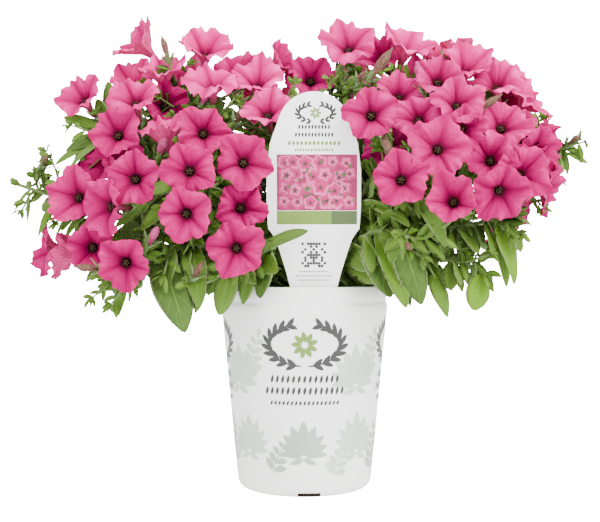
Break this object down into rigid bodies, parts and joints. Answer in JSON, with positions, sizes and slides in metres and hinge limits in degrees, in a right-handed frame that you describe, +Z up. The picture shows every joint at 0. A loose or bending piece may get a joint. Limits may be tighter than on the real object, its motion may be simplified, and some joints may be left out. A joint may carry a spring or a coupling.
{
  "type": "potted petunia",
  "caption": "Bushy flowering petunia with open trumpet flowers and small pointed leaves, in a round tapered plastic nursery pot with a plant label.",
  "frame": {"origin": "centre of the pot's flat base, on the surface that it stands on", "axes": "+Z up along the pot's axis, -Y towards the side with the label, +X to the right of a viewer who faces the label"},
  "size_m": [0.367, 0.2183, 0.306],
  "materials": {
    "pot": "smooth white moulded plastic, satin",
    "soil": "moist crumbly peat",
    "label": "printed plastic card, satin",
    "foliage": "soft green leaves with fine hairs",
    "petal": "thin velvety pink petals"
  },
  "bodies": {
    "root": {"pot": "pot", "soil": "soil", "label": "label", "leafy_stem_1": "foliage", "leafy_stem_2": "foliage", "leafy_stem_3": "foliage", "leafy_stem_4": "foliage", "leafy_stem_5": "foliage", "leafy_stem_6": "foliage", "leafy_stem_7": "foliage", "leafy_stem_8": "foliage", "leafy_stem_9": "foliage", "leafy_stem_10": "foliage", "flower_1": "petal", "flower_2": "petal", "flower_3": "petal", "flower_4": "petal", "flower_5": "petal", "flower_6": "petal", "flower_7": "petal", "flower_8": "petal", "flower_9": "petal", "flower_10": "petal", "flower_11": "petal", "flower_12": "petal", "flower_13": "petal", "flower_14": "petal", "flower_15": "petal", "flower_16": "petal", "flower_17": "petal", "flower_18": "petal", "flower_19": "petal", "flower_20": "petal", "flower_21_22": "petal", "flower_23_44": "petal", "flower_24": "petal", "flower_25": "petal", "flower_26": "petal", "flower_27_28": "petal", "flower_29": "petal", "flower_30_31": "petal", "flower_32": "petal", "flower_33_34": "petal", "flower_35": "petal", "flower_36": "petal", "flower_37": "petal", "flower_38": "petal", "flower_39": "petal", "flower_40": "petal", "flower_41": "petal", "flower_42": "petal", "flower_43": "petal", "flower_45_46_47": "petal", "flower_48_49_50": "petal", "flower_51_52_53": "petal", "flower_54_55_56": "petal", "flower_57_58_59": "petal", "flower_60_61_62": "petal"}
  },
  "joints": []
}
